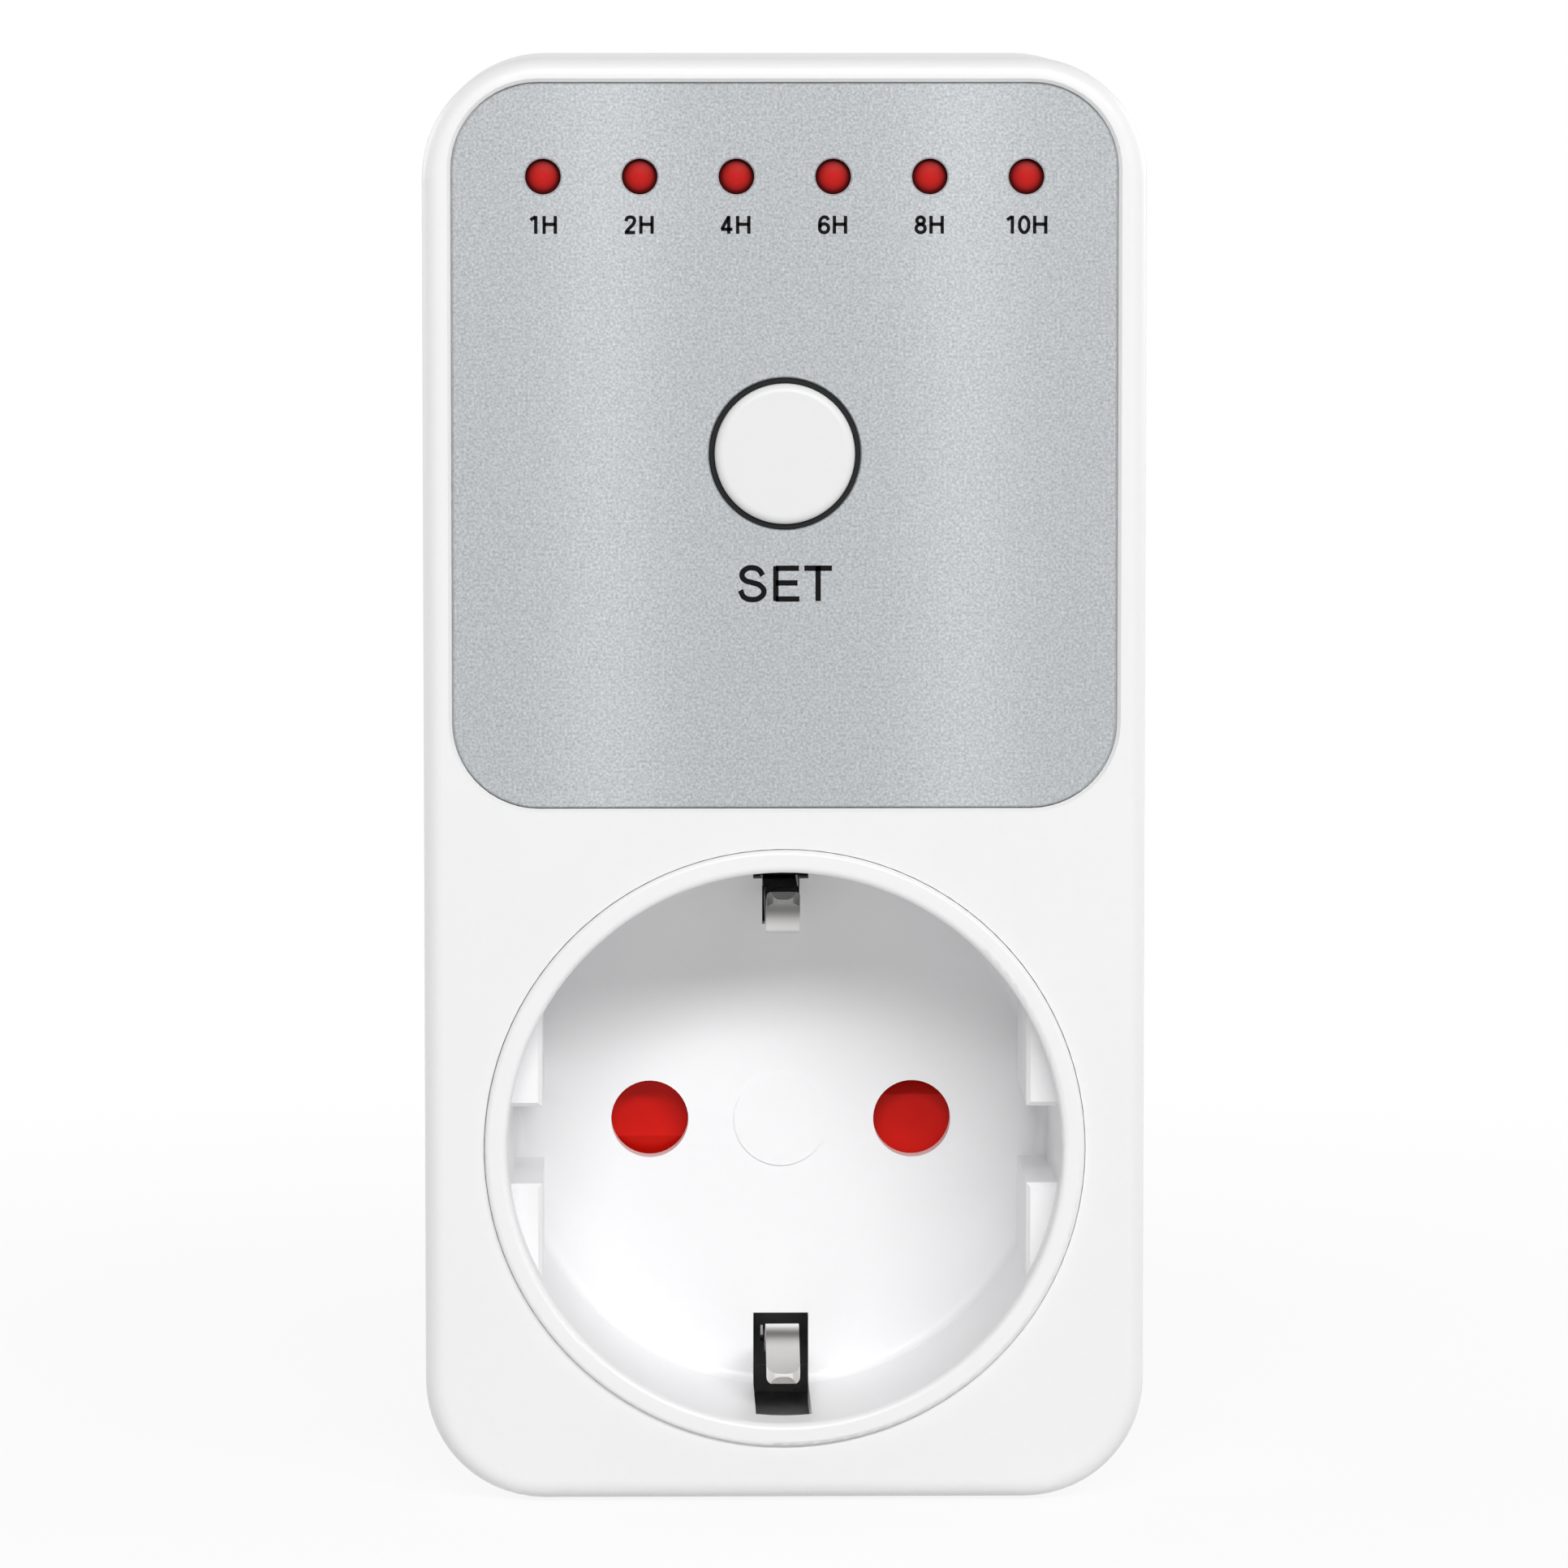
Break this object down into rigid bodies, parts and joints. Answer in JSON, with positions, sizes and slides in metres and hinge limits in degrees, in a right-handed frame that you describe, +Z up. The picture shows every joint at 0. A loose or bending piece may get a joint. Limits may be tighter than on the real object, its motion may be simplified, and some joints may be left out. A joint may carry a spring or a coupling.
{
  "type": "plug-in timer switch",
  "caption": "Plug-in countdown timer: white housing with a silver panel of red lamps and a set button, a round earthed socket below, and a matching round two-pin plug on its back.",
  "frame": {"origin": "middle of the plug's end face, between the two pins", "axes": "+Y out of the plug along the pins, +Z up along the housing, +X to the right seen from the front; the panel and the socket face -Y"},
  "size_m": [0.0512, 0.0726, 0.1022],
  "materials": {
    "housing_white": "satin moulded white",
    "socket_white": "glossy moulded white",
    "panel_silver": "fine grained silver sheet",
    "ring_black": "dark moulded ring",
    "button_white": "satin moulded white",
    "lamp_red": "tinted clear resin",
    "tinned_wire": "tinned",
    "holder_black": "moulded",
    "board_green": "solder mask over glass fibre board",
    "switch_black": "moulded",
    "plunger_white": "moulded",
    "relay_blue": "moulded case",
    "film_yellow": "moulded box",
    "can_sleeve": "shrink sleeve over a can",
    "varistor_blue": "dipped resin",
    "fuse_body": "ceramic tube with metal caps",
    "component_black": "moulded resin",
    "resistor_tan": "lacquered",
    "screw_steel": "zinc plated",
    "shutter_red": "glossy moulded red",
    "spring_steel": "drawn wire",
    "carrier_grey": "heat-proof moulding",
    "contact_brass": "pressed sheet",
    "nickel": "nickel plated",
    "print_black": "screen printed",
    "lead_brown": "cable insulation",
    "lead_blue": "cable insulation"
  },
  "bodies": {
    "housing": {"front_housing": "housing_white", "rear_housing": "housing_white", "face_panel": "panel_silver", "button_ring": "ring_black", "led_1h": "lamp_red", "led_2h": "lamp_red", "led_4h": "lamp_red", "led_6h": "lamp_red", "led_8h": "lamp_red", "led_10h": "lamp_red", "led_legs": "tinned_wire", "led_holder": "holder_black", "control_board": "board_green", "switch_body": "switch_black", "relay": "relay_blue", "film_capacitor": "film_yellow", "electrolytic_capacitor": "can_sleeve", "varistor": "varistor_blue", "fuse": "fuse_body", "rectifier_diodes": "component_black", "resistors": "resistor_tan", "timer_chip": "component_black", "driver_transistor": "component_black", "board_screws": "screw_steel", "socket_cup": "socket_white", "shutter_spring": "spring_steel", "contact_carrier": "carrier_grey", "contact_line": "contact_brass", "contact_neutral": "contact_brass", "earth_strip_top": "nickel", "earth_strip_bottom": "nickel", "earth_link": "contact_brass", "plug_body": "housing_white", "plug_pin_line": "nickel", "plug_pin_neutral": "nickel", "pin_plate": "carrier_grey", "pin_plate_screw": "screw_steel", "line_in_lead": "lead_brown", "line_out_lead": "lead_brown", "neutral_lead": "lead_blue", "neutral_board_lead": "lead_blue", "housing_screws": "screw_steel", "carrier_screws": "screw_steel"},
    "button": {"set_button": "button_white"},
    "plunger": {"switch_plunger": "plunger_white"},
    "shutter": {"shutter": "shutter_red"}
  },
  "joints": [
    {"name": "button_press", "type": "slide", "parent": "housing", "child": "button", "axis": [0, 1, 0], "range_m": [0, 0.0003], "stiffness_N_per_m": 1500},
    {"name": "plunger_press", "type": "slide", "parent": "housing", "child": "plunger", "axis": [0, 1, 0], "range_m": [0, 0.0003]},
    {"name": "shutter_turn", "type": "hinge", "parent": "housing", "child": "shutter", "pos_m": [0, -0.032, 0], "axis": [0, 1, 0], "range_deg": [0, 45], "stiffness_Nm_per_rad": 0.002, "deforming": ["shutter_spring"]}
  ],
  "couplings": [
    {"joint": "plunger_press", "follows": "button_press", "ratio": 1}
  ]
}
